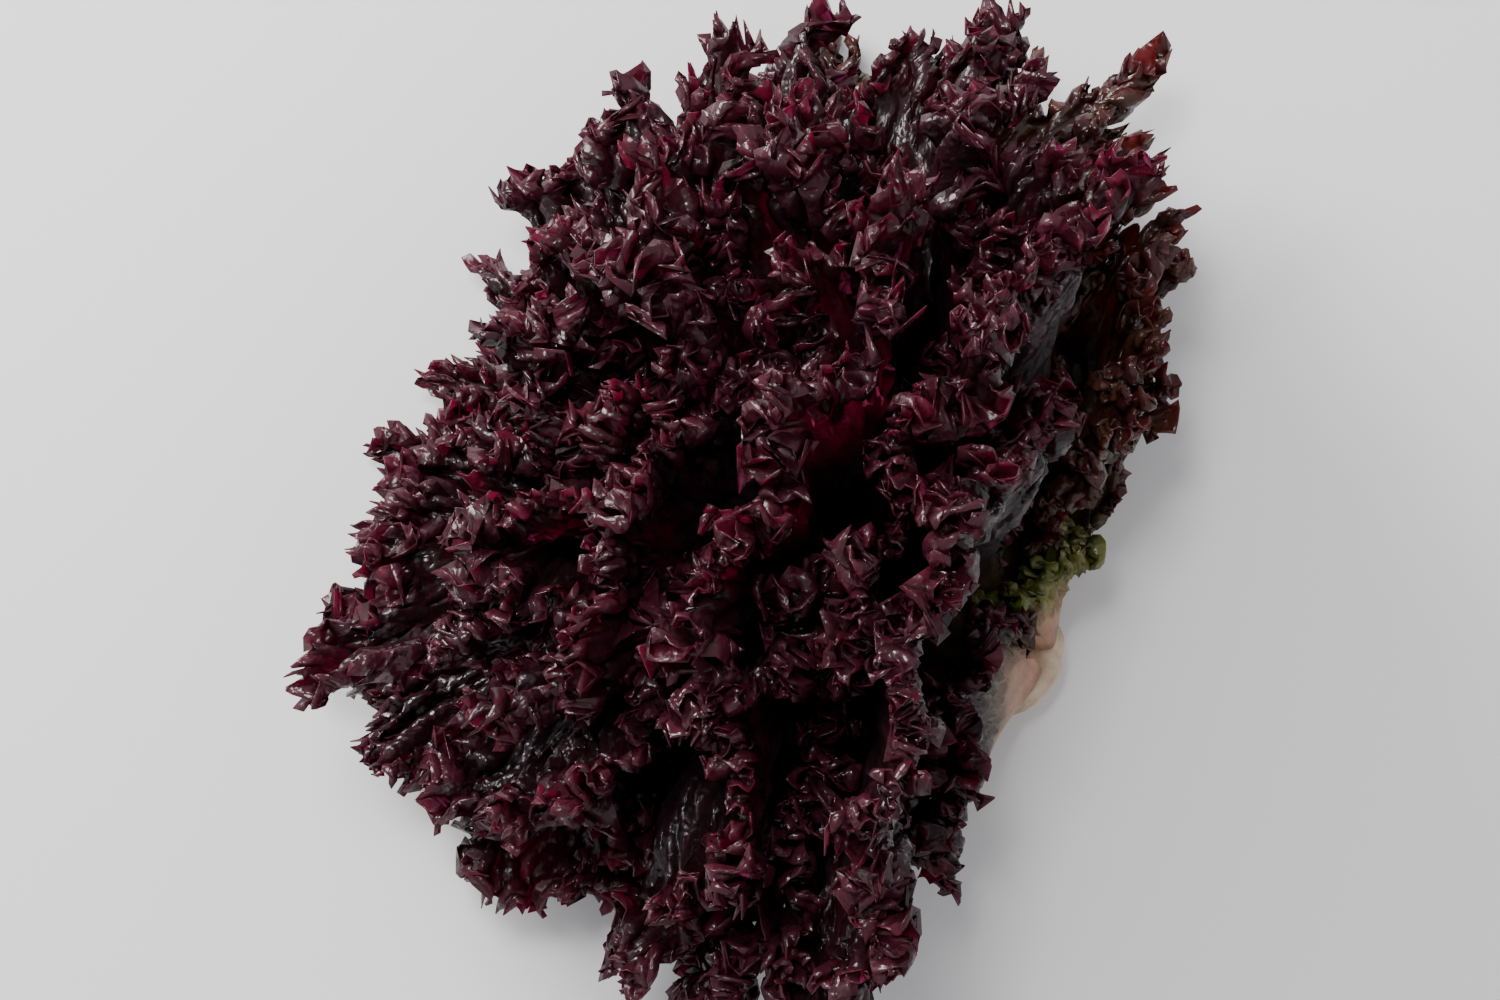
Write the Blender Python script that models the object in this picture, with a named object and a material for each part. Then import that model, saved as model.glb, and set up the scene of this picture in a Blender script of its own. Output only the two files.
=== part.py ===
"""A head of lollo rosso lettuce, as picked, lying on its side on a surface.

The head is a rosette: a short cut stem that tapers to the heart, and leaves that leave it
in a spiral, the first few of them short. Every leaf is one thin closed solid with a thick
pale rib at its foot, a blade that fans out, and a waved and toothed margin. The leaves lie
in nested layers, like bowls in a stack, so that no two of them cross.

The head is worked out in its own frame, with the cut end of the stem at the origin and the
heart along +Z. It is then laid down, with the leaves under it pressed flatter.
"""

import math

import bpy
import numpy as np

MM = 0.001

# The whole head, in its own frame
LEAVES = 30
BIG_LEAVES = 10
FIRST_AZIMUTH = math.radians(-126)
GOLDEN_ANGLE = math.radians(137.5)
AZIMUTH_SHIFTS = (0, 0, 0, 12, 0, 0, 16, -10, -3, -12, 6, -16, 10, -12)
RIM_RADIUS = 126 * MM
CROWN_RISE = 120 * MM
CROWN_CENTRE = 42 * MM
HEART_SLOPE = math.radians(88)

# How far the outermost leaves open, measured up from the plane across the stem
SIDE_SLOPE = math.radians(-16)
UPPER_SLOPE = math.radians(26)
UPPER_NARROW = 5
UNDER_SLOPE = math.radians(44)
ARCH = math.radians(37)
FOOT_DROP = math.radians(12)
FOOT_DROP_NARROW = 6

# The stem
STEM_RADIUS = 13.5 * MM
STEM_EDGE = 1.2 * MM
STEM_TIP_RADIUS = 1.6 * MM
STEM_LENGTH = 61 * MM
STEM_SIDES = 20
FIRST_LEAF_HEIGHT = 5 * MM
LAST_LEAF_HEIGHT = 58 * MM
STEM_GAP_OUTER = 2.2 * MM
STEM_GAP_HEART = 0.8 * MM

# The leaves: half widths about the stem, thickness, and shares of the room they lie in
WIDTH_OUTER = math.radians(52)
WIDTH_INNER = math.radians(92)
WIDTH_SHORT = math.radians(44)
WIDTH_POWER = 1.6
RIB_OUTER = 2.6 * MM
RIB_INNER = 0.4 * MM
RIB_SPREAD = 0.55
RIB_END = 0.62
BLADE = 0.65 * MM
ROOM_FILL = 0.56
FOOT_SHARE_INNER = 0.50
RIM_SHARE_INNER = 0.62
SHARE_CHANGE = 0.5
SHORT_SHARE = 0.7
END_FADE = 0.22
EDGE_FADE = math.radians(16)
SHORTEST = 0.88
SHORT_LENGTHS = (0.46, 0.76, 0.58, 0.28, 0.62, 0.60)
SHORT_LEAVES = len(SHORT_LENGTHS)
OUTER_LENGTHS = (
    (0.84, 1.04, 1.06, 1.06, 0.94, 1.05, 1.06, 0.93)
    + (0.99, 1.03, 1.04, 1.03, 0.89, 0.88, 0.92, 0.93)
)

# The fan of veins in a leaf, its waves and its teeth
FAN_ANGLE = math.radians(108)
FAN_CENTRE = 0.52
FAN_BEND = 0.55
FOOT_WIDTH = 0.80
WAVE_START = 0.25
WAVE_FILL = 0.78
WAVE_DRIFT = 0.5
WAVE_DRIFT_RATE = 5.0
TOOTH = 0.045
TOOTH_START = 0.8

# Rows of a leaf from foot to margin, as shares of its veins, and how the cells double
ROWS = ((0.0, 1), (0.14, 1), (0.30, 1), (0.46, 2), (0.62, 2), (0.76, 4), (0.88, 4), (1.0, 4))
FOOT_CELLS_BIG = 10
FOOT_CELLS_SMALL = 6

# How the head lies, and where the cut end of its stem is then
INCLINE = math.radians(31)
PRESS_FROM = 10 * MM
PRESS_SOFTNESS = 12 * MM
PRESS_LEAST = 0.31
STEM_AT = (-7.5 * MM, -83.25 * MM, 0.4 * MM)

# Swellings and hollows of the outline: direction in the head's frame, share, spread
SWELLINGS = (
    ((0.95, -0.10, 0.20), 0.01, 0.45),
    ((0.62, -0.10, 0.80), 0.31, 0.42),
    ((0.55, -0.75, -0.30), 0.04, 0.35),
    ((-0.66, 0.00, 0.72), 0.34, 0.38),
    ((-0.80, -0.55, -0.25), 0.28, 0.35),
    ((-0.95, 0.20, 0.20), -0.17, 0.35),
    ((-0.75, -0.60, -0.55), 0.21, 0.35),
)


def smooth_step(x):
    """0 below 0, 1 above 1, and smooth between."""
    x = np.clip(x, 0.0, 1.0)
    return x * x * (3.0 - 2.0 * x)


def inwardness(k):
    """0 for the short outer leaves and the first long one, 1 for the innermost."""
    return max(k - SHORT_LEAVES, 0) / (LEAVES - SHORT_LEAVES - 1)


def between(outer, inner, k):
    """A leaf's own value, from the outermost long leaf's to the innermost's."""
    return outer + (inner - outer) * inwardness(k)


def azimuth(k):
    """The side of the stem that leaf k grows from."""
    shift = AZIMUTH_SHIFTS[k] if k < len(AZIMUTH_SHIFTS) else 0.0
    return FIRST_AZIMUTH + GOLDEN_ANGLE * k + math.radians(shift)


def half_width(k):
    """Half of leaf k's width, as an angle about the stem."""
    if k < SHORT_LEAVES:
        return WIDTH_SHORT
    return WIDTH_OUTER + (WIDTH_INNER - WIDTH_OUTER) * inwardness(k) ** WIDTH_POWER


def share_of_room(k, s):
    """The share of the room between stem and outside that leaf k's layer takes at s."""
    foot = between(1.0, FOOT_SHARE_INNER, k)
    rim = between(1.0, RIM_SHARE_INNER, k)
    share = foot + (rim - foot) * smooth_step(s / SHARE_CHANGE)
    return share * SHORT_SHARE if k < SHORT_LEAVES else share


def presence(k, phi, s):
    """1 where leaf k may be, falling to 0 beside it and, for a short leaf, beyond its end."""
    turn = np.mod(phi - azimuth(k) + math.pi, 2 * math.pi) - math.pi
    inside = 1.0 - smooth_step((np.abs(turn) - half_width(k)) / EDGE_FADE)
    if k < SHORT_LEAVES:
        inside = inside * (1.0 - smooth_step((s - LENGTHS[k] * (1.0 + TOOTH)) / END_FADE))
    return inside


def layer(k, phi, s):
    """The middle and the half thickness of leaf k's layer: 0 is outside, 1 the heart."""
    below = 0.0
    total = 0.0
    for j in range(LEAVES):
        part = share_of_room(j, s) * presence(j, phi, s)
        total = total + part
        if j < k:
            below = below + part
    own = share_of_room(k, s)
    total = total + own * (1.0 - presence(k, phi, s))
    return (below + 0.5 * own) / total, 0.5 * own / total


def shell_point(depth, s, phi):
    """A point of the head, s along the bowl at the given depth, at azimuth phi."""
    foot_r = STEM_RADIUS + (STEM_TIP_RADIUS - STEM_RADIUS) * depth
    foot_r = foot_r + STEM_GAP_OUTER + (STEM_GAP_HEART - STEM_GAP_OUTER) * depth
    foot_z = FIRST_LEAF_HEIGHT + (LAST_LEAF_HEIGHT - FIRST_LEAF_HEIGHT) * depth
    lowest = SIDE_SLOPE + (UNDER_SLOPE - SIDE_SLOPE) * (0.5 + 0.5 * np.sin(phi)) ** 3
    lowest = lowest + (UPPER_SLOPE - SIDE_SLOPE) * (0.5 - 0.5 * np.sin(phi)) ** UPPER_NARROW
    slope = lowest + (HEART_SLOPE - lowest) * depth
    tip_r = RIM_RADIUS * np.cos(slope)
    tip_z = CROWN_CENTRE + CROWN_RISE * np.sin(slope)
    reach = 0.5 * np.hypot(tip_r - foot_r, tip_z - foot_z)
    start = slope + ARCH * (1.0 - depth) - FOOT_DROP * (1.0 - depth) ** FOOT_DROP_NARROW
    mid_r = foot_r + reach * np.cos(start)
    mid_z = foot_z + reach * np.sin(start)
    a = (1.0 - s) ** 2
    b = 2.0 * s * (1.0 - s)
    c = s**2
    r = a * foot_r + b * mid_r + c * tip_r
    z = a * foot_z + b * mid_z + c * tip_z
    return np.stack((r * np.cos(phi), r * np.sin(phi), z), axis=-1)


def swell(points):
    """Moves points out or in from the crown's centre, by the swellings."""
    out = points - np.array((0.0, 0.0, CROWN_CENTRE))
    far = np.linalg.norm(out, axis=-1)
    way = out / np.maximum(far, 1e-6)[..., None]
    grow = np.zeros_like(far)
    for direction, share, spread in SWELLINGS:
        d = np.array(direction) / np.linalg.norm(direction)
        grow += share * np.exp((way @ d - 1.0) / spread**2)
    return points + out * (grow * smooth_step(far / RIM_RADIUS))[..., None]


def lay_down(points):
    """Turns the head on to its side and presses what is under it flatter."""
    x, y, z = points[..., 0], points[..., 1], points[..., 2]
    along = math.cos(INCLINE) * z + math.sin(INCLINE) * y
    up = math.sin(INCLINE) * z - math.cos(INCLINE) * y
    under = np.logaddexp(0.0, (PRESS_FROM - up) / PRESS_SOFTNESS) * PRESS_SOFTNESS
    up = up + (1.0 - PRESS_LEAST) * under
    return np.stack((x, along, up), axis=-1) + np.array(STEM_AT)


def foot_cells(k):
    """The number of cells across leaf k's foot. Its margin has four times as many."""
    return FOOT_CELLS_BIG if 0 <= k - SHORT_LEAVES < BIG_LEAVES else FOOT_CELLS_SMALL


def leaf_chart(k, u, v):
    """Where leaf k's vein u is at v: (turn about the stem, distance along the leaf)."""
    beta = FAN_ANGLE * u
    teeth = 2 * foot_cells(k)
    tooth = TOOTH * np.cos(math.pi * teeth * (u + 1.0)) * smooth_step((v - TOOTH_START) / (1.0 - TOOTH_START))
    end_x = np.sin(beta)
    end_s = (FAN_CENTRE + (1.0 - FAN_CENTRE) * np.cos(beta)) * LENGTHS[k] * (1.0 + tooth)
    foot_x = FOOT_WIDTH * u
    x = (1 - v) ** 2 * foot_x + v * (1 - v) * (foot_x + end_x) + v**2 * end_x
    s = 2 * v * (1 - v) * FAN_BEND * end_s + v**2 * end_s
    return half_width(k) * x, s


def leaf_point(k, u, v, across):
    """A point of leaf k's layer, across it from -1 (outer side) to 1 (inner side)."""
    turn, s = leaf_chart(k, u, v)
    phi = azimuth(k) + turn
    middle, half = layer(k, phi, s)
    return lay_down(swell(shell_point(middle + half * across, s, phi)))


def leaf_middle(k, u, v):
    """The middle surface of leaf k, from its foot at v = 0 to its waved margin at v = 1."""
    swing = WAVE_FILL * smooth_step((v - WAVE_START) / (1.0 - WAVE_START))
    drift = PHASES[k] + WAVE_DRIFT * np.sin(WAVE_DRIFT_RATE * u + PHASES[k])
    return leaf_point(k, u, v, swing * np.sin(math.pi * foot_cells(k) * (u + 1.0) + drift))


def leaf_thickness(k, u, v, normal):
    """How thick leaf k is: a fleshy rib at the foot that runs out into the blade."""
    rib = between(RIB_OUTER, RIB_INNER, k) * np.exp(-((u / RIB_SPREAD) ** 2))
    rib = rib * (1.0 - smooth_step(v / RIB_END))
    room = np.abs(np.sum((leaf_point(k, u, v, 1.0) - leaf_point(k, u, v, -1.0)) * normal, axis=-1))
    return np.clip(ROOM_FILL * room, BLADE, BLADE + rib)


def leaf_faces(k):
    """Triangles of one face of leaf k, and the loop of points round it."""
    cells = [foot_cells(k) * times for _, times in ROWS]
    starts = [0]
    for count in cells:
        starts.append(starts[-1] + count + 1)
    faces = []
    for row in range(len(cells) - 1):
        a, b = starts[row], starts[row + 1]
        for i in range(cells[row]):
            if cells[row + 1] == cells[row]:
                faces.append((a + i, a + i + 1, b + i + 1))
                faces.append((a + i, b + i + 1, b + i))
            else:
                faces.append((a + i, b + 2 * i + 1, b + 2 * i))
                faces.append((a + i, a + i + 1, b + 2 * i + 1))
                faces.append((a + i + 1, b + 2 * i + 2, b + 2 * i + 1))
    foot = list(range(starts[1]))
    right = [start - 1 for start in starts[2:]]
    margin = list(range(starts[-2], starts[-1] - 1))
    left = starts[1:-2]
    return faces, foot + right + margin[::-1] + left[::-1]


def leaf_object(k, material):
    """Leaf k as one closed solid."""
    u = np.concatenate([np.linspace(-1.0, 1.0, foot_cells(k) * times + 1) for _, times in ROWS])
    v = np.concatenate([np.full(foot_cells(k) * times + 1, row) for row, times in ROWS])
    step = 1e-3
    middle = leaf_middle(k, u, v)
    across = leaf_middle(k, u + step, v) - leaf_middle(k, u - step, v)
    along = leaf_middle(k, u, v + step) - leaf_middle(k, u, v - step)
    normal = np.cross(across, along)
    normal /= np.linalg.norm(normal, axis=-1)[:, None]
    offset = normal * (0.5 * leaf_thickness(k, u, v, normal))[:, None]
    points = np.concatenate((middle + offset, middle - offset))
    count = len(middle)
    one_face, loop = leaf_faces(k)
    faces = list(one_face)
    faces += [(a + count, c + count, b + count) for a, b, c in one_face]
    for i, j in zip(loop, loop[1:] + loop[:1]):
        faces.append((j, i, i + count))
        faces.append((j, i + count, j + count))
    return add_object(f"leaf_{k + 1:02d}", points, faces, material)


def stem_object(material):
    """The stem: a turned cone with a flat cut end and a round tip."""
    profile = (
        (STEM_RADIUS - STEM_EDGE, 0.0),
        (STEM_RADIUS, STEM_EDGE),
        (STEM_RADIUS, FIRST_LEAF_HEIGHT),
        (STEM_RADIUS * 0.55, 0.5 * STEM_LENGTH),
        (STEM_TIP_RADIUS, LAST_LEAF_HEIGHT),
        (STEM_TIP_RADIUS * 0.6, STEM_LENGTH),
    )
    angle = np.arange(STEM_SIDES) * 2 * math.pi / STEM_SIDES
    rings = [np.stack((r * np.cos(angle), r * np.sin(angle), 0 * angle + z), axis=-1) for r, z in profile]
    ends = np.array(((0.0, 0.0, 0.0), (0.0, 0.0, STEM_LENGTH + 0.3 * STEM_TIP_RADIUS)))
    points = lay_down(np.concatenate(rings + [ends]))
    foot, tip = STEM_SIDES * len(profile), STEM_SIDES * len(profile) + 1
    faces = []
    for i in range(STEM_SIDES):
        j = (i + 1) % STEM_SIDES
        faces.append((foot, j, i))
        faces.append((tip, foot - STEM_SIDES + i, foot - STEM_SIDES + j))
        for ring in range(len(profile) - 1):
            a, b = ring * STEM_SIDES, (ring + 1) * STEM_SIDES
            faces.append((a + i, a + j, b + j))
            faces.append((a + i, b + j, b + i))
    return add_object("stem", points, faces, material)


def add_object(name, points, faces, material):
    """A mesh object with smooth faces, in the scene."""
    mesh = bpy.data.meshes.new(name)
    mesh.from_pydata(points.tolist(), [], faces)
    mesh.shade_smooth()
    mesh.set_sharp_from_angle(angle=math.radians(50))
    mesh.materials.append(material)
    item = bpy.data.objects.new(name, mesh)
    bpy.context.collection.objects.link(item)
    return item


def plain_material(name, colour, roughness):
    """A Principled material of one colour."""
    material = bpy.data.materials.new(name)
    material.use_nodes = True
    shader = material.node_tree.nodes["Principled BSDF"]
    shader.inputs["Base Color"].default_value = (*colour, 1.0)
    shader.inputs["Roughness"].default_value = roughness
    shader.inputs["Metallic"].default_value = 0.0
    return material


for item in list(bpy.data.objects):
    bpy.data.objects.remove(item, do_unlink=True)

chance = np.random.default_rng(7)
HEART_LEAVES = LEAVES - len(SHORT_LENGTHS) - len(OUTER_LENGTHS)
LENGTHS = np.concatenate((SHORT_LENGTHS, OUTER_LENGTHS, chance.uniform(SHORTEST, 1.0, HEART_LEAVES)))
PHASES = chance.uniform(0.0, 2 * math.pi, LEAVES)
leaf_red = plain_material("leaf_red", (0.075, 0.010, 0.018), 0.35)
stem_pale = plain_material("stem_pale", (0.62, 0.50, 0.38), 0.5)
stem_object(stem_pale)
for leaf in range(LEAVES):
    leaf_object(leaf, leaf_red)
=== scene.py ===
"""A head of lollo rosso lettuce, as picked, lying on its side: its frilled leaves and its cut stem.

The leaves lie in nested layers about the stem, like bowls in a stack. Each one is worked out in
the head's own frame, with the cut end of the stem at the origin and the heart along +Z, and the
head is then laid down with the leaves under it pressed flatter.
"""

import math

import bpy
import numpy as np
from mathutils import Matrix


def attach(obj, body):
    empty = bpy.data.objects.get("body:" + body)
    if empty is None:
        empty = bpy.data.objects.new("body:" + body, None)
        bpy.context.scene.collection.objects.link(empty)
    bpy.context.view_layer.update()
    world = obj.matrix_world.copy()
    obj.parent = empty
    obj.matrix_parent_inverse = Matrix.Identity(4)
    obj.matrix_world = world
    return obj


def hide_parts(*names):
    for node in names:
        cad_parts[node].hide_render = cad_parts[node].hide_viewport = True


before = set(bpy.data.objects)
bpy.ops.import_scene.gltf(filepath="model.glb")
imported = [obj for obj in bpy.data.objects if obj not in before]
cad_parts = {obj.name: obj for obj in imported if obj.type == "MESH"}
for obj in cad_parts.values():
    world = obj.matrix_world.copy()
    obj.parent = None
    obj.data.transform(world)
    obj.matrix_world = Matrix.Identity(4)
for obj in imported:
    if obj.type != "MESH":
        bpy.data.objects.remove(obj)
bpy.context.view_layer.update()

# The head: thirty leaves on a short stem, each leaving it a golden angle further round.
# It is one living thing: the first leaves are short, and the innermost stay shut over the heart.
# It was laid down on its side, so the leaves under it are folded forward and pressed flat.
MM = 0.001
LEAVES = 30
FIRST_AZIMUTH = math.radians(-126)
GOLDEN_ANGLE = math.radians(137.5)
AZIMUTH_SHIFTS = (0, 0, 0, 12, 0, 0, 16, -10, -3, -12, 6, -16, 10, -12)
RIM_RADIUS = 126 * MM
CROWN_RISE = 120 * MM
CROWN_CENTRE = 42 * MM
HEART_SLOPE = math.radians(88)
SIDE_SLOPE = math.radians(-16)
UPPER_SLOPE = math.radians(26)
UPPER_NARROW = 5
UNDER_SLOPE = math.radians(44)
ARCH = math.radians(37)
FOOT_DROP = math.radians(12)
FOOT_DROP_NARROW = 6
STEM_RADIUS = 13.5 * MM
STEM_TIP_RADIUS = 1.6 * MM
STEM_GAP_OUTER = 2.2 * MM
STEM_GAP_HEART = 0.8 * MM
FIRST_LEAF_HEIGHT = 5 * MM
LAST_LEAF_HEIGHT = 58 * MM
INCLINE = math.radians(31)
PRESS_FROM = 10 * MM
PRESS_SOFTNESS = 12 * MM
PRESS_LEAST = 0.31
STEM_AT = (-7.5 * MM, -83.25 * MM, 0.4 * MM)
SWELLINGS = (
    ((0.95, -0.10, 0.20), 0.01, 0.45),
    ((0.62, -0.10, 0.80), 0.31, 0.42),
    ((0.55, -0.75, -0.30), 0.04, 0.35),
    ((-0.66, 0.00, 0.72), 0.34, 0.38),
    ((-0.80, -0.55, -0.25), 0.28, 0.35),
    ((-0.95, 0.20, 0.20), -0.17, 0.35),
    ((-0.75, -0.60, -0.55), 0.21, 0.35),
)


def smooth_step(x):
    """3x^2 - 2x^3, held at 0 below 0 and at 1 above 1."""
    x = np.clip(x, 0.0, 1.0)
    return x * x * (3.0 - 2.0 * x)


def shell_point(depth, s, phi):
    """A bowl of the head: a curve from the stem (s = 0) over a bend to the crown (s = 1), turned
    about the stem's axis by phi. Depth runs from the outermost bowl, 0, to the heart, 1."""
    foot_r = STEM_RADIUS + (STEM_TIP_RADIUS - STEM_RADIUS) * depth
    foot_r = foot_r + STEM_GAP_OUTER + (STEM_GAP_HEART - STEM_GAP_OUTER) * depth
    foot_z = FIRST_LEAF_HEIGHT + (LAST_LEAF_HEIGHT - FIRST_LEAF_HEIGHT) * depth
    lowest = SIDE_SLOPE + (UNDER_SLOPE - SIDE_SLOPE) * (0.5 + 0.5 * np.sin(phi)) ** 3
    lowest = lowest + (UPPER_SLOPE - SIDE_SLOPE) * (0.5 - 0.5 * np.sin(phi)) ** UPPER_NARROW
    slope = lowest + (HEART_SLOPE - lowest) * depth
    tip_r = RIM_RADIUS * np.cos(slope)
    tip_z = CROWN_CENTRE + CROWN_RISE * np.sin(slope)
    reach = 0.5 * np.hypot(tip_r - foot_r, tip_z - foot_z)
    start = slope + ARCH * (1.0 - depth) - FOOT_DROP * (1.0 - depth) ** FOOT_DROP_NARROW
    a = (1.0 - s) ** 2
    b = 2.0 * s * (1.0 - s)
    c = s**2
    r = a * foot_r + b * (foot_r + reach * np.cos(start)) + c * tip_r
    z = a * foot_z + b * (foot_z + reach * np.sin(start)) + c * tip_z
    return np.stack((r * np.cos(phi), r * np.sin(phi), z), axis=-1)


def swell(points):
    """Each point moves away from the crown's centre by a sum of rounded humps and hollows."""
    out = points - np.array((0.0, 0.0, CROWN_CENTRE))
    far = np.linalg.norm(out, axis=-1)
    way = out / np.maximum(far, 1e-6)[..., None]
    grow = np.zeros_like(far)
    for direction, share, spread in SWELLINGS:
        d = np.array(direction) / np.linalg.norm(direction)
        grow += share * np.exp((way @ d - 1.0) / spread**2)
    return points + out * (grow * smooth_step(far / RIM_RADIUS))[..., None]


def lay_down(points):
    """The head turns on to its side, and heights below a level shrink to a third, softly."""
    x, y, z = points[..., 0], points[..., 1], points[..., 2]
    along = math.cos(INCLINE) * z + math.sin(INCLINE) * y
    up = math.sin(INCLINE) * z - math.cos(INCLINE) * y
    up = up + (1.0 - PRESS_LEAST) * np.logaddexp(0.0, (PRESS_FROM - up) / PRESS_SOFTNESS) * PRESS_SOFTNESS
    return np.stack((x, along, up), axis=-1) + np.array(STEM_AT)


# The leaves: each one a thin blade that fans out from a fleshy foot, with a frilled margin.
# The margin grew longer than the blade can hold flat, so it meanders, and the meander meanders.
# A blade has two faces about half a millimetre apart, closed round the edge by a narrow wall.
BIG_LEAVES = 10
WIDTH_OUTER = math.radians(52)
WIDTH_INNER = math.radians(92)
WIDTH_SHORT = math.radians(44)
WIDTH_POWER = 1.6
FOOT_SHARE_INNER = 0.50
RIM_SHARE_INNER = 0.62
SHARE_CHANGE = 0.5
SHORT_SHARE = 0.7
END_FADE = 0.22
EDGE_FADE = math.radians(16)
SHORTEST = 0.88
SHORT_LENGTHS = (0.46, 0.76, 0.58, 0.28, 0.62, 0.60)
SHORT_LEAVES = len(SHORT_LENGTHS)
OUTER_LENGTHS = (
    (0.84, 1.04, 1.06, 1.06, 0.94, 1.05, 1.06, 0.93)
    + (0.99, 1.03, 1.04, 1.03, 0.89, 0.88, 0.92, 0.93)
)
FAN_ANGLE = math.radians(108)
FAN_CENTRE = 0.52
FAN_BEND = 0.55
FOOT_WIDTH = 0.80
WAVE_START = 0.25
WAVE_FILL = 0.62
WAVE_DRIFT = 0.5
WAVE_DRIFT_RATE = 5.0
LOBE = 0.045
LOBE_START = 0.8
chance = np.random.default_rng(7)
HEART_LEAVES = LEAVES - len(SHORT_LENGTHS) - len(OUTER_LENGTHS)
LENGTHS = np.concatenate((SHORT_LENGTHS, OUTER_LENGTHS, chance.uniform(SHORTEST, 1.0, HEART_LEAVES)))
PHASES = chance.uniform(0.0, 2 * math.pi, LEAVES)

RIB_OUTER = 2.6 * MM
RIB_INNER = 0.4 * MM
RIB_SPREAD = 0.55
RIB_END = 0.62
ROOM_FILL = 0.56
BLADE_FOOT = 0.55 * MM
BLADE_MARGIN = 0.32 * MM

PUCKER_WIDTH = 20.0 * MM
PUCKER_LENGTH = 24.0 * MM
PUCKER_HEIGHT = 1.5 * MM
PUCKER_START = 0.25
PUCKER_FADE = 0.3
SWAY = 2.3
SWAY_LENGTH = 26.0 * MM
FRILL_WIDTH = 11.0 * MM
FRILL_HEIGHT = 6.5 * MM
FRILL_LEAST = 5.0 * MM
FRILL_ROOM = 1.1
FRILL_START = 0.58
FRILL_BEND = 2.6
FRILL_FOOT = 0.36
FRILL_FADE = 0.24
RUFFLE_WIDTH = 5.6 * MM
RUFFLE_HEIGHT = 2.8 * MM
RUFFLE_START = 0.86
RUFFLE_BEND = 1.8
RUFFLE_GAIN = 1.6
RUFFLE_FOOT = 0.60
RUFFLE_FADE = 0.15
CRIMP_WIDTH = 3.4 * MM
CRIMP_HEIGHT = 1.0 * MM
CRIMP_START = 0.95
CRIMP_BEND = 1.3
CRIMP_GAIN = 2.2
CRIMP_FOOT = 0.80
CRIMP_FADE = 0.10
OVERHANG = 0.75
EVENING = 5
TOOTH_WIDTH = 3.5 * MM
TOOTH_REACH = 3.2 * MM
TOOTH_START = 0.94
TOOTH_GAIN = 1.9
TOOTH_SINK = 0.35
STAGGER = 8.0 * MM
STAGGER_START = 0.4
STAGGER_BEND = 1.5
DRAWN_IN = 2.5 * MM
OPEN_LEAVES = (1, 6, 9)
OPEN_FRILL = 0.6
OPEN_TOOTH_WIDTH = 13.0 * MM
OPEN_TOOTH_REACH = 11.0 * MM
OPEN_TOOTH_START = 0.84
OPEN_TOOTH_GAIN = 1.2
VEIN_LENGTH = 125 * MM
SIDE_FRILL = 0.80
SIDE_START = 0.16
SIDE_LENGTH = 55 * MM
MARGIN_STEPS = 1601
FLOOR_SOFTNESS = 0.6 * MM

# Rows of a blade from its foot to its margin: how many, up to where, and cells to a large wave.
# The short leaves and the innermost, which hardly show, have half as many at the margin.
BANDS = ((3, 0.34, 5), (5, 0.56, 10), (7, 0.74, 20), (5, 0.89, 40), (4, 0.965, 80), (3, 1.0, 160))
COARSE_BANDS = BANDS[:4] + ((4, 1.0, 80),)
HIDDEN_LEAVES = 5


def inwardness(k):
    """0 for the short outer leaves and the first long one, 1 for the innermost."""
    return max(k - SHORT_LEAVES, 0) / (LEAVES - SHORT_LEAVES - 1)


def between(outer, inner, k):
    """A straight line from the outermost long leaf's value to the innermost's."""
    return outer + (inner - outer) * inwardness(k)


def azimuth(k):
    """The first leaf's side of the stem, plus k golden angles, and the outer leaves' own shifts."""
    shift = AZIMUTH_SHIFTS[k] if k < len(AZIMUTH_SHIFTS) else 0.0
    return FIRST_AZIMUTH + GOLDEN_ANGLE * k + math.radians(shift)


def half_width(k):
    """Half of leaf k's width as an angle about the stem: it grows towards the heart."""
    if k < SHORT_LEAVES:
        return WIDTH_SHORT
    return WIDTH_OUTER + (WIDTH_INNER - WIDTH_OUTER) * inwardness(k) ** WIDTH_POWER


def foot_cells(k):
    """Ten large waves round the margin of a big leaf, and six round that of a small one."""
    return 10 if 0 <= k - SHORT_LEAVES < BIG_LEAVES else 6


def share_of_room(k, s):
    """The share of the room between stem and outside that leaf k takes, from foot to rim."""
    foot = between(1.0, FOOT_SHARE_INNER, k)
    rim = between(1.0, RIM_SHARE_INNER, k)
    share = foot + (rim - foot) * smooth_step(s / SHARE_CHANGE)
    return share * SHORT_SHARE if k < SHORT_LEAVES else share


def presence(k, phi, s):
    """1 where leaf k may be, falling to 0 beside it and, for a short leaf, beyond its end."""
    turn = np.mod(phi - azimuth(k) + math.pi, 2 * math.pi) - math.pi
    inside = 1.0 - smooth_step((np.abs(turn) - half_width(k)) / EDGE_FADE)
    if k < SHORT_LEAVES:
        inside = inside * (1.0 - smooth_step((s - LENGTHS[k] * (1.0 + LOBE)) / END_FADE))
    return inside


def layer(k, phi, s):
    """The middle and half thickness of leaf k's layer: what lies outside it, over what there is."""
    parts = [share_of_room(j, s) * presence(j, phi, s) for j in range(LEAVES)]
    own = share_of_room(k, s)
    total = sum(parts) + own * (1.0 - presence(k, phi, s))
    return (sum(parts[:k]) + 0.5 * own) / total, 0.5 * own / total


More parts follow.
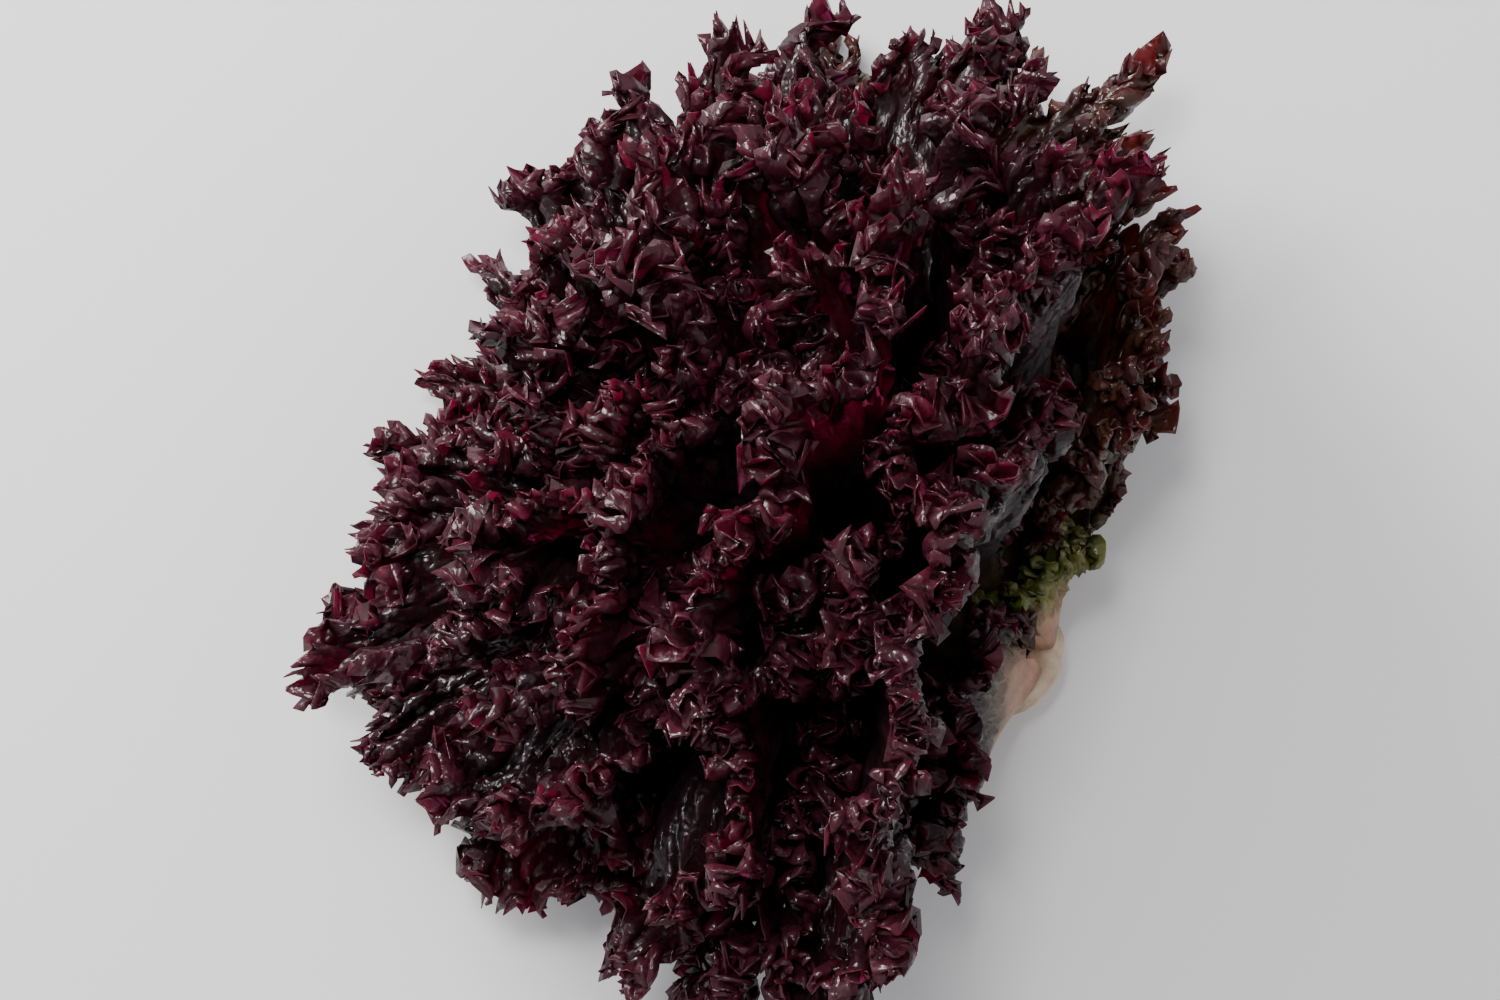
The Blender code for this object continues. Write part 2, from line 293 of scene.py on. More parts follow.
def leaf_chart(k, u, v):
    """Vein u of leaf k at v: a parabola from the foot, straight up the leaf at first, to a point
    of the margin's fan. The fan is a circle of veins, and its radius is lobed."""
    beta = FAN_ANGLE * u
    lobe = LOBE * np.cos(2 * math.pi * foot_cells(k) * (u + 1.0))
    lobe = lobe * smooth_step((v - LOBE_START) / (1.0 - LOBE_START))
    end_x = np.sin(beta)
    end_s = (FAN_CENTRE + (1.0 - FAN_CENTRE) * np.cos(beta)) * LENGTHS[k] * (1.0 + lobe)
    foot_x = FOOT_WIDTH * u
    x = (1 - v) ** 2 * foot_x + v * (1 - v) * (foot_x + end_x) + v**2 * end_x
    s = 2 * v * (1 - v) * FAN_BEND * end_s + v**2 * end_s
    return half_width(k) * x, s


def leaf_point(k, u, v, across):
    """A point of leaf k's layer, across it from -1 on its outer side to 1 on its inner side."""
    turn, s = leaf_chart(k, u, v)
    phi = azimuth(k) + turn
    middle, half = layer(k, phi, s)
    return lay_down(swell(shell_point(middle + half * across, s, phi)))


def wave(k, u, v):
    """The large waves: a sine of the vein's place that swings wider towards the margin."""
    swing = WAVE_FILL * np.clip((v - WAVE_START) / (1.0 - WAVE_START), 0.0, 1.2) ** 1.8
    drift = PHASES[k] + WAVE_DRIFT * np.sin(WAVE_DRIFT_RATE * u + PHASES[k])
    return swing * np.sin(math.pi * foot_cells(k) * (u + 1.0) + drift)


def wander(k, x, rate):
    """A slow, uneven drift between about -1 and 1: three sines that never fall into step."""
    start = PHASES[k]
    drift = np.sin(rate * x + 3.1 * start) + 0.7 * np.sin(2.3 * rate * x + 5.3 * start)
    return (drift + 0.5 * np.sin(4.1 * rate * x + 1.7 * start)) / 1.6


def blade_grid(k):
    """Points (t, v) in rows from foot to margin, the triangles between them, the loop round the
    edge and where each row starts. A row with twice the cells of the one below it is joined to
    it by three triangles a cell."""
    bands = BANDS if SHORT_LEAVES <= k < LEAVES - HIDDEN_LEAVES else COARSE_BANDS
    heights, cells = [0.0], [foot_cells(k) * bands[0][2]]
    for rows, top, times in bands:
        low = heights[-1]
        heights += [low + (top - low) * (i + 1) / rows for i in range(rows)]
        cells += [foot_cells(k) * times] * rows
    t = np.concatenate([np.linspace(0.0, 1.0, n + 1) for n in cells])
    v = np.repeat(heights, np.add(cells, 1))
    starts = np.concatenate(([0], np.cumsum(np.add(cells, 1))))
    faces = []
    for row in range(len(cells) - 1):
        i = np.arange(cells[row])
        a = starts[row] + i
        if cells[row + 1] == cells[row]:
            b = starts[row + 1] + i
            faces += [np.stack((a, a + 1, b + 1), 1), np.stack((a, b + 1, b), 1)]
        else:
            b = starts[row + 1] + 2 * i
            middle = np.stack((a, a + 1, b + 1), 1)
            faces += [np.stack((a, b + 1, b), 1), middle, np.stack((a + 1, b + 2, b + 1), 1)]
    right = starts[2:] - 1
    margin = np.arange(starts[-2], starts[-1] - 1)
    loop = np.concatenate((np.arange(starts[1]), right, margin[::-1], starts[1:-2][::-1]))
    return t, v, np.concatenate(faces), loop, starts


def face_normals(points, faces):
    """At each point, the sum of the cross products of the triangles round it, made unit long."""
    corner = points[faces]
    cross = np.cross(corner[:, 1] - corner[:, 0], corner[:, 2] - corner[:, 0])
    sums = [np.bincount(faces.ravel(), np.repeat(cross[:, i], 3), len(points)) for i in range(3)]
    total = np.stack(sums, 1)
    return total / np.maximum(np.linalg.norm(total, axis=1), 1e-12)[:, None]


def row_neighbours(starts):
    """The point after each point of a row and the one before it, or the point itself at an end."""
    ahead = np.arange(starts[-1]) + 1
    behind = ahead - 2
    ahead[starts[1:] - 1] -= 1
    behind[starts[:-1]] += 1
    return ahead, behind


def row_direction(points, starts):
    """Along each row, the unit vector from the point before to the point after."""
    ahead, behind = row_neighbours(starts)
    step = points[ahead] - points[behind]
    return step / np.maximum(np.linalg.norm(step, axis=1), 1e-9)[:, None]


def evened(values, starts, times):
    """Each value takes a quarter of both its neighbours' in the row, a number of times over."""
    ahead, behind = row_neighbours(starts)
    for _ in range(times):
        values = 0.5 * values + 0.25 * (values[ahead] + values[behind])
    return values


def meander(points, faces, starts, theta, width, height):
    """Adds one size of frill to a surface. It rises by height times sin(theta) on the surface's
    own normal, slides along its row by sin(2 theta) so that the crests overhang, and where it
    has risen it is drawn back along its veins by rise squared over width, as a flare is. The
    normals are evened along the row, so a frill dies away where the surface folds sharply."""
    normal = evened(face_normals(points, faces), starts, EVENING)
    along = row_direction(points, starts)
    outward = np.cross(normal, along)
    rise = height * np.sin(theta)
    slide = OVERHANG * width / (2 * math.pi) * np.sin(2 * theta) * np.minimum(height / (0.3 * width), 1.0)
    drawn = rise**2 / width
    return points + normal * rise[:, None] - along * slide[:, None] - outward * drawn[:, None]


def grown(v, start, bend):
    """0 up to a place on the vein, then a power of the rest: most of it comes at the margin."""
    return np.clip((v - start) / (1.0 - start), 0.0, 1.0) ** bend


def teeth_of(k, place, length, width, reach):
    """How far the margin runs out along its veins: cusps of 1 - |sin(turn / 2)| of a width."""
    turn = 2 * math.pi * round(length / width) * place + 2.0 * wander(k, place, 47.0)
    cusp = (1.0 - np.abs(np.sin(0.5 * turn))) * (1.0 + 0.6 * wander(k, place, 83.0))
    return reach * (cusp - TOOTH_SINK)


def margin_chart(k, t, v):
    """The vein u at t, the share of the waved margin's length, so that frills keep their size
    along it. Also how near v is to the margin, which runs down both sides of the leaf, the
    place along that margin, and the margin's length."""
    table = np.linspace(-1.0, 1.0, MARGIN_STEPS)
    edge = leaf_point(k, table, 1.0 + 0 * table, wave(k, table, 1.0))
    run = np.concatenate(([0.0], np.cumsum(np.linalg.norm(np.diff(edge, axis=0), axis=1))))
    length = run[-1]
    u = np.interp(t, run / length, table)
    side = smooth_step((np.abs(u) - SIDE_FRILL) / (1.0 - SIDE_FRILL))
    near = 1.0 - (1.0 - v) * (1.0 - side * smooth_step((v - SIDE_START) / SIDE_START))
    place = t + np.sign(u) * side * (1.0 - v) * SIDE_LENGTH / length
    return u, near, place, length


def run_out(k, t, v, place, length):
    """v, moved out where a tooth stands, and out or in where the margin is staggered."""
    reach = teeth_of(k, place, TOOTH_GAIN * length, TOOTH_WIDTH, TOOTH_REACH)
    v_out = v + reach / VEIN_LENGTH * grown(v, TOOTH_START, 1.0)
    if k in OPEN_LEAVES:
        reach = teeth_of(k, place, OPEN_TOOTH_GAIN * length, OPEN_TOOTH_WIDTH, OPEN_TOOTH_REACH)
        v_out = v_out + reach / VEIN_LENGTH * grown(v, OPEN_TOOTH_START, 1.0)
    stagger = STAGGER * wander(k, t, 29.0) - DRAWN_IN
    return v_out + stagger / VEIN_LENGTH * grown(v, STAGGER_START, STAGGER_BEND)


def puckered(k, points, faces, v, place, length):
    """The blade with its blisters, which rise by sine times sine on its own normals."""
    turn = 2 * math.pi * round(length / PUCKER_WIDTH) * place + 2.0 * wander(k, v, 9.0)
    climb = 2 * math.pi * VEIN_LENGTH / PUCKER_LENGTH * v + 2.5 * wander(k, place, 23.0)
    rise = PUCKER_HEIGHT * (np.sin(turn) * np.sin(climb)) * smooth_step((v - PUCKER_START) / PUCKER_FADE)
    return points + face_normals(points, faces) * rise[:, None]


def frilled_blade(k, t, v, faces, starts):
    """The middle surface of leaf k: large waves within its layer and puckers on its blade, then
    frills on the waves, ruffles on the frills and a crimp on the ruffles. Each size fades
    towards the foot, where the rows lie too far apart to carry it."""
    u, near, place, length = margin_chart(k, t, v)
    points = leaf_point(k, u, run_out(k, t, v, place, length), wave(k, u, v))
    points = puckered(k, points, faces, v, place, length)

    room = 0.5 * np.linalg.norm(leaf_point(k, u, v, 1.0) - leaf_point(k, u, v, -1.0), axis=-1)
    frills = round(length / FRILL_WIDTH)
    sway = SWAY * np.sin(2 * math.pi * VEIN_LENGTH / SWAY_LENGTH * v + 3.0 * wander(k, place, 13.0))
    theta = 2 * math.pi * frills * place + 1.3 * wander(k, place, 19.0) + sway
    height = FRILL_HEIGHT * (1.0 + 0.35 * wander(k, place, 31.0))
    height = np.minimum(height, np.maximum(FRILL_ROOM * room, FRILL_LEAST))
    height = height * grown(near, FRILL_START, FRILL_BEND) * smooth_step((v - FRILL_FOOT) / FRILL_FADE)
    if k in OPEN_LEAVES:
        height = height * OPEN_FRILL
    points = meander(points, faces, starts, theta, length / frills, height)

    ruffles = round(RUFFLE_GAIN * length / RUFFLE_WIDTH)
    theta = 2 * math.pi * ruffles * place + 1.6 * wander(k, place, 37.0) - sway
    height = RUFFLE_HEIGHT * (1.0 + 0.4 * wander(k, place, 53.0)) * grown(near, RUFFLE_START, RUFFLE_BEND)
    height = height * smooth_step((v - RUFFLE_FOOT) / RUFFLE_FADE)
    points = meander(points, faces, starts, theta, RUFFLE_WIDTH, height)

    crimps = round(CRIMP_GAIN * length / CRIMP_WIDTH)
    theta = 2 * math.pi * crimps * place + 1.7 * wander(k, place, 61.0)
    height = CRIMP_HEIGHT * (1.0 + 0.5 * wander(k, place, 43.0)) * grown(near, CRIMP_START, CRIMP_BEND)
    height = height * smooth_step((v - CRIMP_FOOT) / CRIMP_FADE)
    return meander(points, faces, starts, theta, CRIMP_WIDTH, height), u, near


def blade_thickness(k, u, v, normal):
    """A blade that thins towards its margin, and a rounded rib that runs out two thirds along.
    It never fills more than its share of the leaf's own layer."""
    rib = between(RIB_OUTER, RIB_INNER, k) * np.exp(-((u / RIB_SPREAD) ** 2))
    rib = rib * (1.0 - smooth_step(v / RIB_END))
    blade = BLADE_FOOT + (BLADE_MARGIN - BLADE_FOOT) * smooth_step(v / 0.9)
    room = np.abs(np.sum((leaf_point(k, u, v, 1.0) - leaf_point(k, u, v, -1.0)) * normal, axis=-1))
    return np.minimum(np.maximum(ROOM_FILL * room, blade), blade + rib)


def mesh_piece(name, points, faces, material):
    """A smooth-shaded mesh object made from whole arrays."""
    mesh = bpy.data.meshes.new(name)
    mesh.vertices.add(len(points))
    mesh.vertices.foreach_set("co", np.ascontiguousarray(points, dtype=np.float32).ravel())
    mesh.loops.add(faces.size)
    mesh.loops.foreach_set("vertex_index", np.ascontiguousarray(faces, dtype=np.int32).ravel())
    mesh.polygons.add(len(faces))
    mesh.polygons.foreach_set("loop_start", np.arange(len(faces), dtype=np.int32) * faces.shape[1])
    mesh.update(calc_edges=True)
    mesh.validate()
    mesh.shade_smooth()
    mesh.materials.append(material)
    item = bpy.data.objects.new(name, mesh)
    bpy.context.collection.objects.link(item)
    return item


def add_chart(piece, chart):
    """A UV map with one place for each vertex."""
    mesh = piece.data
    corner = np.empty(len(mesh.loops), dtype=np.int32)
    mesh.loops.foreach_get("vertex_index", corner)
    mesh.uv_layers.new(name="UVMap").data.foreach_set("uv", chart[corner].astype(np.float32).ravel())


def leaf_piece(k, material):
    """Leaf k: the frilled surface moved out and in by half its thickness, and the wall round it.
    What would dip below the table is eased up on to it, by (z + sqrt(z^2 + softness^2)) / 2."""
    t, v, one_face, loop, starts = blade_grid(k)
    middle, u, near = frilled_blade(k, t, v, one_face, starts)
    normal = face_normals(middle, one_face)
    offset = normal * (0.5 * blade_thickness(k, u, v, normal))[:, None]
    points = np.concatenate((middle + offset, middle - offset))
    points[:, 2] = 0.5 * (points[:, 2] + np.sqrt(points[:, 2] ** 2 + FLOOR_SOFTNESS**2))
    count = len(middle)
    ahead = np.roll(loop, -1)
    wall = (np.stack((ahead, loop, loop + count), 1), np.stack((ahead, loop + count, ahead + count), 1))
    faces = np.concatenate((one_face, one_face[:, [0, 2, 1]] + count, *wall))
    piece = mesh_piece(f"frilled_{k + 1:02d}", points, faces, material)
    reach = leaf_chart(k, u, v)[1]
    for name, values in (("margin", near), ("reach", reach)):
        row = piece.data.attributes.new(name, "FLOAT", "POINT").data
        row.foreach_set("value", np.tile(values, 2).astype(np.float32))
    chart = np.stack((t, v), axis=1)
    add_chart(piece, np.concatenate((chart, chart)))
    return piece


def node(tree, kind, **settings):
    """A new node of a kind, with its settings."""
    item = tree.nodes.new("ShaderNode" + kind)
    for name, value in settings.items():
        setattr(item, name, value)
    return item


def feed(tree, socket, value):
    """Puts a number, a colour or another node's output on an input."""
    if isinstance(value, bpy.types.NodeSocket):
        tree.links.new(value, socket)
    else:
        socket.default_value = value


def math_of(tree, operation, *values, clamp=False):
    """The output of a Math node on the values."""
    item = node(tree, "Math", operation=operation, use_clamp=clamp)
    for socket, value in zip(item.inputs, values):
        feed(tree, socket, value)
    return item.outputs["Value"]


def blend_of(tree, share, first, second, mode="MIX"):
    """The first colour turned into the second by a share of 0 to 1."""
    item = node(tree, "Mix", data_type="RGBA", blend_type=mode)
    feed(tree, item.inputs["Factor"], share)
    feed(tree, item.inputs["A"], first)
    feed(tree, item.inputs["B"], second)
    return item.outputs["Result"]


def slope_of(tree, value, low, high, bottom=0.0, top=1.0):
    """A smooth climb from bottom to top while the value goes from low to high."""
    item = node(tree, "MapRange", interpolation_type="SMOOTHSTEP")
    ends = {"From Min": low, "From Max": high, "To Min": bottom, "To Max": top}
    feed(tree, item.inputs["Value"], value)
    for name, number in ends.items():
        feed(tree, item.inputs[name], number)
    return item.outputs["Result"]


def stirred(tree, value, noise, amount):
    """A value moved up or down by an amount of noise."""
    return math_of(tree, "MULTIPLY_ADD", math_of(tree, "SUBTRACT", noise, 0.5), amount, value)


def noise_of(tree, place, scale, detail=3.0, roughness=0.5):
    """Even noise of a size, as a number about one half."""
    item = node(tree, "TexNoise")
    item.inputs["Scale"].default_value = scale
    item.inputs["Detail"].default_value = detail
    item.inputs["Roughness"].default_value = roughness
    tree.links.new(place, item.inputs["Vector"])
    return item.outputs["Fac"]


# Veins of a fan: how many, their share of the space between them, and how far up they begin
VEINS = ((14, 0.16, -0.4), (42, 0.13, 0.25), (126, 0.11, 0.55))


def leaf_pattern():
    """The pattern of a leaf: t and v are its chart. Pale flesh below, the blade's colour above in
    uneven patches, a lighter rim that is partly the margin's own red and partly a painted highlight,
    a fan of veins that fork, a net of fine veins, and blisters."""
    tree = bpy.data.node_groups.new("leaf_pattern", "ShaderNodeTree")
    for name in ("Foot", "Throat", "Blade", "Patch", "Rim", "Vein"):
        tree.interface.new_socket(name=name, in_out="INPUT", socket_type="NodeSocketColor")
    for name in ("Throat End", "Patchiness"):
        tree.interface.new_socket(name=name, in_out="INPUT", socket_type="NodeSocketFloat")
    tree.interface.new_socket(name="Colour", in_out="OUTPUT", socket_type="NodeSocketColor")
    for name in ("Roughness", "Height", "Sheer"):
        tree.interface.new_socket(name=name, in_out="OUTPUT", socket_type="NodeSocketFloat")
    given = node(tree, "TexCoord")
    group_in = tree.nodes.new("NodeGroupInput")
    group_out = tree.nodes.new("NodeGroupOutput")
    place = given.outputs["Object"]
    chart = node(tree, "UVMap", uv_map="UVMap")
    split = node(tree, "SeparateXYZ")
    tree.links.new(chart.outputs["UV"], split.inputs["Vector"])
    t, v = split.outputs["X"], split.outputs["Y"]
    near = node(tree, "Attribute", attribute_name="margin").outputs["Fac"]
    reach = node(tree, "Attribute", attribute_name="reach").outputs["Fac"]

    coarse = noise_of(tree, place, 45.0, 3.0)
    medium = noise_of(tree, place, 170.0, 4.0)
    fine = noise_of(tree, place, 900.0, 3.0, 0.6)
    uneven = stirred(tree, stirred(tree, reach, coarse, 0.30), medium, 0.10)

    fan = stirred(tree, t, medium, 0.012)
    vein = 0.0
    for count, width, begin in VEINS:
        stripe = math_of(tree, "PINGPONG", math_of(tree, "MULTIPLY", fan, float(count)), 0.5)
        line = slope_of(tree, stripe, 0.0, width, 1.0, 0.0)
        line = math_of(tree, "MULTIPLY", line, slope_of(tree, v, begin, begin + 0.25))
        vein = math_of(tree, "MAXIMUM", vein, line)
    cell = node(tree, "TexVoronoi", feature="DISTANCE_TO_EDGE")
    cell.inputs["Scale"].default_value = 300.0
    tree.links.new(place, cell.inputs["Vector"])
    net = slope_of(tree, cell.outputs["Distance"], 0.02, 0.16, 1.0, 0.0)
    blister = slope_of(tree, cell.outputs["Distance"], 0.0, 0.45)
    net = math_of(tree, "MULTIPLY", net, slope_of(tree, v, 0.3, 0.6))

    above = slope_of(tree, uneven, 0.08, 0.24)
    colour = blend_of(tree, above, group_in.outputs["Foot"], group_in.outputs["Throat"])
    end = group_in.outputs["Throat End"]
    over = slope_of(tree, uneven, math_of(tree, "SUBTRACT", end, 0.18), end)
    patches = slope_of(tree, coarse, 0.42, 0.62)
    patches = math_of(tree, "MULTIPLY", patches, group_in.outputs["Patchiness"])
    blade = blend_of(tree, patches, group_in.outputs["Blade"], group_in.outputs["Patch"])
    colour = blend_of(tree, over, colour, blade)
    # Painted highlight: the last stretch to the margin and the edge wall take the Rim colour, partly the
    # margin's own red, partly a painted highlight along the edge.
    rim = slope_of(tree, stirred(tree, near, medium, 0.06), 0.93, 1.0)
    rim = math_of(tree, "MULTIPLY", rim, over)
    colour = blend_of(tree, rim, colour, group_in.outputs["Rim"])
    net = math_of(tree, "MULTIPLY", net, 0.22)
    lines = math_of(tree, "MAXIMUM", math_of(tree, "MULTIPLY", vein, 0.55), net)
    colour = blend_of(tree, math_of(tree, "MULTIPLY", lines, over), colour, group_in.outputs["Vein"])
    shade = slope_of(tree, medium, 0.25, 0.75, 0.72, 1.25)
    tint = node(tree, "CombineXYZ")
    for socket in tint.inputs:
        tree.links.new(shade, socket)
    colour = blend_of(tree, 1.0, colour, tint.outputs["Vector"], "MULTIPLY")
    tree.links.new(colour, group_out.inputs["Colour"])

    rough = slope_of(tree, fine, 0.3, 0.7, 0.17, 0.32)
    rough = stirred(tree, rough, coarse, 0.25)
    rough = math_of(tree, "ADD", rough, slope_of(tree, v, 0.50, 0.92, 0.20, 0.0))
    tree.links.new(rough, group_out.inputs["Roughness"])
    height = math_of(tree, "MULTIPLY", blister, slope_of(tree, v, 0.35, 0.6))
    height = math_of(tree, "MULTIPLY_ADD", vein, 0.35, height)
    height = math_of(tree, "MULTIPLY_ADD", medium, 0.8, height)
    height = math_of(tree, "MULTIPLY_ADD", fine, 0.12, height)
    tree.links.new(height, group_out.inputs["Height"])
    sheer = slope_of(tree, v, 0.45, 1.0, 0.03, 0.50)
    sheer = math_of(tree, "MULTIPLY", sheer, slope_of(tree, vein, 0.0, 1.0, 1.0, 0.7))
    sheer = math_of(tree, "MULTIPLY", sheer, slope_of(tree, coarse, 0.35, 0.65, 0.50, 1.10))
    tree.links.new(sheer, group_out.inputs["Sheer"])
    return tree


LEAF_PATTERN = leaf_pattern()


def leaf_material(name, throat_end, patchiness, glow, **colours):
    """A waxy leaf skin on the leaf pattern, with some light let through it."""
    material = bpy.data.materials.new(name)
    material.use_nodes = True
    tree = material.node_tree
    shader = tree.nodes["Principled BSDF"]
    pattern = node(tree, "Group", node_tree=LEAF_PATTERN)
    for part, colour in colours.items():
        pattern.inputs[part.capitalize()].default_value = (*colour, 1.0)
    pattern.inputs["Throat End"].default_value = throat_end
    pattern.inputs["Patchiness"].default_value = patchiness
    tree.links.new(pattern.outputs["Colour"], shader.inputs["Base Color"])
    tree.links.new(pattern.outputs["Roughness"], shader.inputs["Roughness"])
    shader.inputs["IOR"].default_value = 1.5
    bump = node(tree, "Bump")
    bump.inputs["Strength"].default_value = 0.55
    bump.inputs["Distance"].default_value = 0.5 * MM
    tree.links.new(pattern.outputs["Height"], bump.inputs["Height"])
    tree.links.new(bump.outputs["Normal"], shader.inputs["Normal"])
    sheer = node(tree, "BsdfTranslucent")
    sheer.inputs["Color"].default_value = (*glow, 1.0)
    mix = node(tree, "MixShader")
    tree.links.new(pattern.outputs["Sheer"], mix.inputs["Fac"])
    tree.links.new(shader.outputs["BSDF"], mix.inputs[1])
    tree.links.new(sheer.outputs["BSDF"], mix.inputs[2])
    tree.links.new(mix.outputs["Shader"], tree.nodes["Material Output"].inputs["Surface"])
    return material


FLESH = (0.31, 0.155, 0.090)
# In the red and brown skins the rim colour is far lighter than the blade: partly the margin's own red,
# partly a painted highlight along the edge.
leaf_red = leaf_material(
    "leaf_red",
    foot=FLESH,
    throat=(0.085, 0.060, 0.030),
    throat_end=0.32,
    blade=(0.017, 0.0068, 0.0095),
    patch=(0.010, 0.0066, 0.0082),
    patchiness=0.85,
    rim=(0.070, 0.012, 0.024),
    vein=(0.035, 0.009, 0.014),
    glow=(0.54, 0.055, 0.210),
)
leaf_brown = leaf_material(
    "leaf_brown",
    foot=FLESH,
    throat=(0.10, 0.075, 0.032),
    throat_end=0.42,
    blade=(0.027, 0.012, 0.010),
    patch=(0.020, 0.015, 0.008),
    patchiness=0.8,
    rim=(0.075, 0.015, 0.018),
    vein=(0.085, 0.045, 0.020),
    glow=(0.50, 0.10, 0.11),
)
leaf_green = leaf_material(
    "leaf_green",
    foot=FLESH,
    throat=(0.16, 0.16, 0.045),
    throat_end=0.55,
    blade=(0.085, 0.100, 0.020),
    patch=(0.040, 0.055, 0.012),
    patchiness=0.7,
    rim=(0.070, 0.050, 0.015),
    vein=(0.16, 0.17, 0.06),
    glow=(0.55, 0.65, 0.10),
)
BROWN_LEAVES = (1, 6, 9)
GREEN_LEAVES = (3,)
for k in range(LEAVES):
    skin = leaf_green if k in GREEN_LEAVES else leaf_brown if k in BROWN_LEAVES else leaf_red
    leaf = leaf_piece(k, skin)
    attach(leaf, "root")
    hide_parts(f"leaf_{k + 1:02d}")

# The stem stays the part's own turned piece, with the skin of cut lettuce on it: pale, moist
# flesh in a thin green rind. The knife went straight through it, and the cut has browned from
# its ring of milk vessels outwards.
CUT_AT = np.array(STEM_AT) + np.array((0.0, 0.0, 9.5)) * MM


def stem_flesh():
    """The pattern of the stem: rings about its axis, threads along it, and brown by noise."""
    material = bpy.data.materials.new("stem_flesh")
    material.use_nodes = True
    tree = material.node_tree
    shader = tree.nodes["Principled BSDF"]
    given = node(tree, "TexCoord")
    turned = node(tree, "Mapping", vector_type="TEXTURE")
    turned.inputs["Location"].default_value = CUT_AT
    turned.inputs["Rotation"].default_value = (INCLINE - math.pi / 2, 0.0, 0.0)
    tree.links.new(given.outputs["Object"], turned.inputs["Vector"])
    split = node(tree, "SeparateXYZ")
    tree.links.new(turned.outputs["Vector"], split.inputs["Vector"])
    flat = node(tree, "CombineXYZ")
    tree.links.new(split.outputs["X"], flat.inputs["X"])
    tree.links.new(split.outputs["Y"], flat.inputs["Y"])
    length = node(tree, "VectorMath", operation="LENGTH")
    tree.links.new(flat.outputs["Vector"], length.inputs[0])
    coarse = noise_of(tree, given.outputs["Object"], 160.0, 4.0, 0.6)
    fine = noise_of(tree, given.outputs["Object"], 1100.0, 3.0, 0.6)
    across = stirred(tree, length.outputs["Value"], coarse, 3.0 * MM)
    ring = math_of(tree, "ABSOLUTE", math_of(tree, "SUBTRACT", across, 0.62 * STEM_RADIUS))
    ring = slope_of(tree, ring, 0.3 * MM, 1.6 * MM, 1.0, 0.0)
    rind = slope_of(tree, across, 0.80 * STEM_RADIUS, 0.98 * STEM_RADIUS)
    colour = blend_of(tree, rind, (0.58, 0.47, 0.34, 1.0), (0.36, 0.33, 0.17, 1.0))
    colour = blend_of(tree, math_of(tree, "MULTIPLY", ring, 0.7), colour, (0.30, 0.16, 0.08, 1.0))
    brown = math_of(tree, "MULTIPLY", slope_of(tree, coarse, 0.45, 0.70), 0.6)
    colour = blend_of(tree, brown, colour, (0.38, 0.22, 0.13, 1.0))
    colour = blend_of(tree, slope_of(tree, fine, 0.55, 0.75, 0.0, 0.35), colour, (0.66, 0.58, 0.46, 1.0))
    tree.links.new(colour, shader.inputs["Base Color"])
    tree.links.new(slope_of(tree, coarse, 0.3, 0.7, 0.32, 0.6), shader.inputs["Roughness"])
    shader.inputs["Subsurface Weight"].default_value = 0.15
    shader.inputs["Subsurface Scale"].default_value = 2.0 * MM
    bump = node(tree, "Bump")
    bump.inputs["Strength"].default_value = 0.5
    bump.inputs["Distance"].default_value = 0.4 * MM
    height = math_of(tree, "MULTIPLY_ADD", fine, 0.4, coarse)
    height = math_of(tree, "MULTIPLY_ADD", ring, 0.6, height)
    tree.links.new(height, bump.inputs["Height"])
    tree.links.new(bump.outputs["Normal"], shader.inputs["Normal"])
    return material


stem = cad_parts["stem"]
stem.data.materials.clear()
stem.data.materials.append(stem_flesh())

# The table: a plain pale sheet of dull paper under the head. It is one flat square, level with
# the lowest leaves, and large enough to fill the picture from any side.
floor_skin = bpy.data.materials.new("pale_paper")
floor_skin.use_nodes = True
paper = floor_skin.node_tree.nodes["Principled BSDF"]
paper.inputs["Base Color"].default_value = (0.82, 0.82, 0.82, 1)
paper.inputs["Roughness"].default_value = 0.9
corners = np.array(((-3, -3, 0), (3, -3, 0), (3, 3, 0), (-3, 3, 0)), dtype=float)
floor = mesh_piece("table", corners, np.array(((0, 1, 2, 3),)), floor_skin)

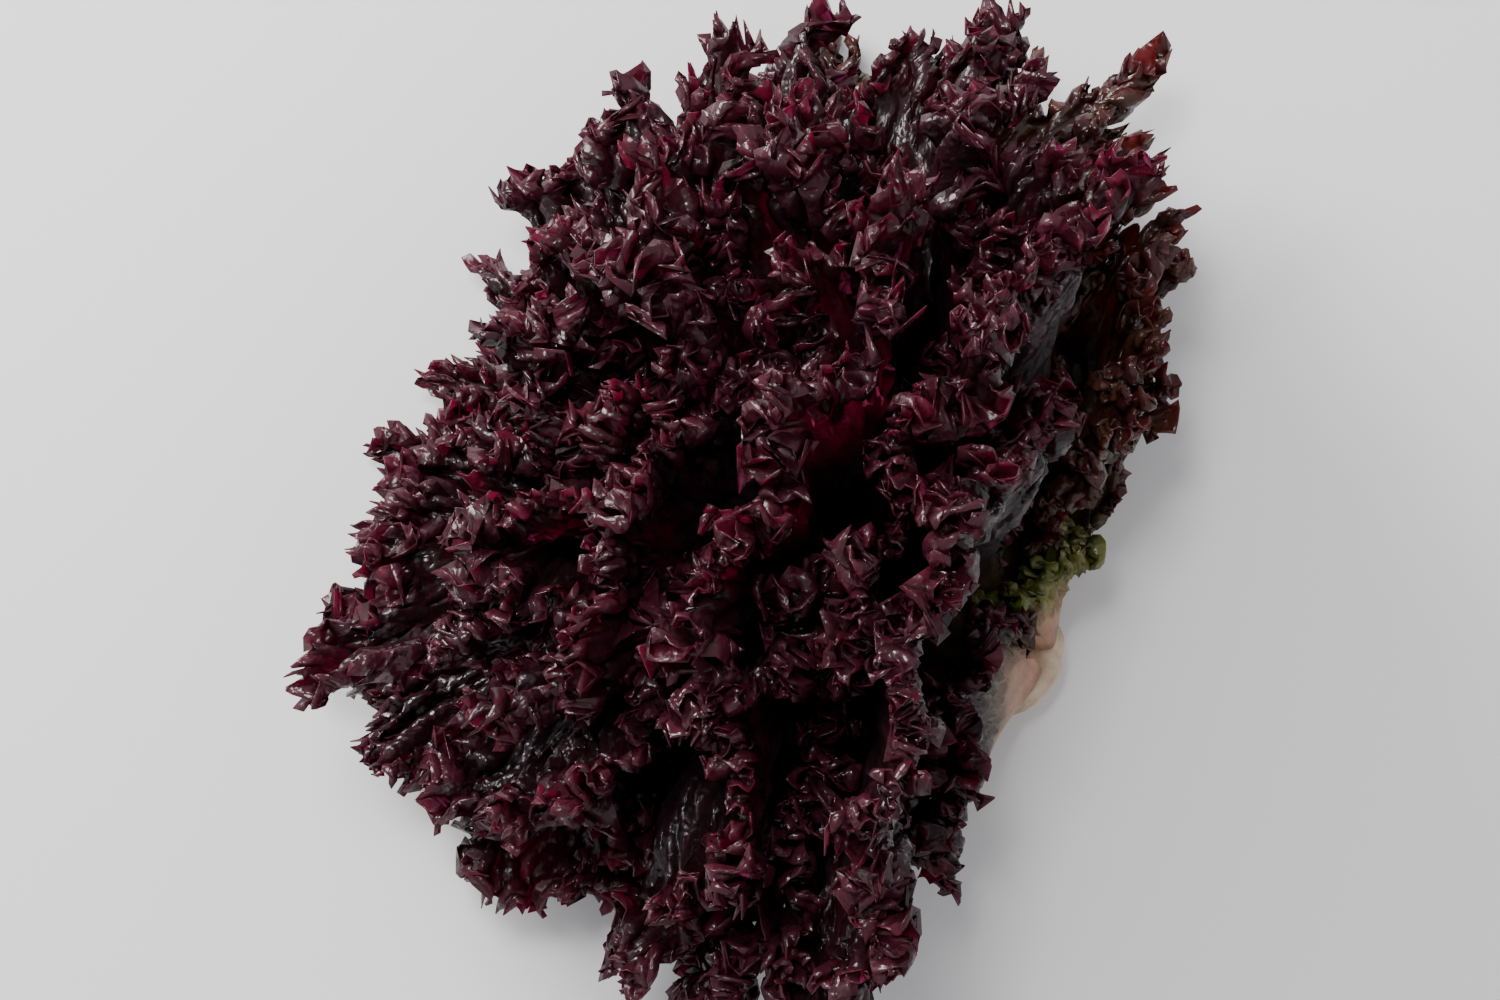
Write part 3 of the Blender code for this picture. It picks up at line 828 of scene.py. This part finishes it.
# The light and the camera: a soft sky, a broad lamp behind the head at the upper left of the
# picture, and a long lens that looks almost straight down.
VIEW_TURN = math.radians(-61.7)
VIEW_HEIGHT = math.radians(80)
right = np.array((math.cos(VIEW_TURN), math.sin(VIEW_TURN), 0.0))
level = np.array((math.sin(VIEW_TURN), -math.cos(VIEW_TURN), 0.0))
toward = level * math.cos(VIEW_HEIGHT) + np.array((0.0, 0.0, math.sin(VIEW_HEIGHT)))
upward = np.cross(toward, right)
PICTURE_WIDTH = 1500
PICTURE_MIDDLE = (750, 500)
PIXELS_PER_METRE = 4060.0
STEM_END_PIXEL = (1045, 678)
LENS = 100.0
SENSOR = 36.0
MIDDLE_HEIGHT = 45 * MM
across = (PICTURE_MIDDLE[0] - STEM_END_PIXEL[0]) / PIXELS_PER_METRE
over = (STEM_END_PIXEL[1] - PICTURE_MIDDLE[1]) / PIXELS_PER_METRE
aim = CUT_AT + right * across + upward * over + toward * MIDDLE_HEIGHT
distance = PICTURE_WIDTH * LENS / SENSOR / PIXELS_PER_METRE
camera_data = bpy.data.cameras.new("camera")
camera_data.lens = LENS
camera_data.sensor_width = SENSOR
camera = bpy.data.objects.new("camera", camera_data)
bpy.context.collection.objects.link(camera)
turned = Matrix(np.stack((right, upward, toward), axis=1).tolist())
camera.matrix_world = Matrix.Translation((aim + toward * distance).tolist()) @ turned.to_4x4()
bpy.context.scene.camera = camera

world = bpy.data.worlds.new("sky")
world.use_nodes = True
world.node_tree.nodes["Background"].inputs["Color"].default_value = (0.96, 0.96, 1.0, 1)
world.node_tree.nodes["Background"].inputs["Strength"].default_value = 0.72
bpy.context.scene.world = world


def lamp(name, at, aim_at, size, power):
    """A square soft lamp that faces a point."""
    data = bpy.data.lights.new(name, "AREA")
    data.size = size
    data.energy = power
    item = bpy.data.objects.new(name, data)
    way = np.array(at) - np.array(aim_at)
    way /= np.linalg.norm(way)
    side = np.cross((0.0, 0.0, 1.0), way)
    side /= np.linalg.norm(side)
    turn = Matrix(np.stack((side, np.cross(way, side), way), axis=1).tolist())
    item.matrix_world = Matrix.Translation(list(at)) @ turn.to_4x4()
    bpy.context.collection.objects.link(item)


HEAD_MIDDLE = (0.0, 0.0, 0.05)
lamp("window", (0.32, 1.00, 0.50), HEAD_MIDDLE, 0.5, 23.0)
lamp("ceiling", (0.05, 0.30, 1.60), HEAD_MIDDLE, 0.35, 14.0)
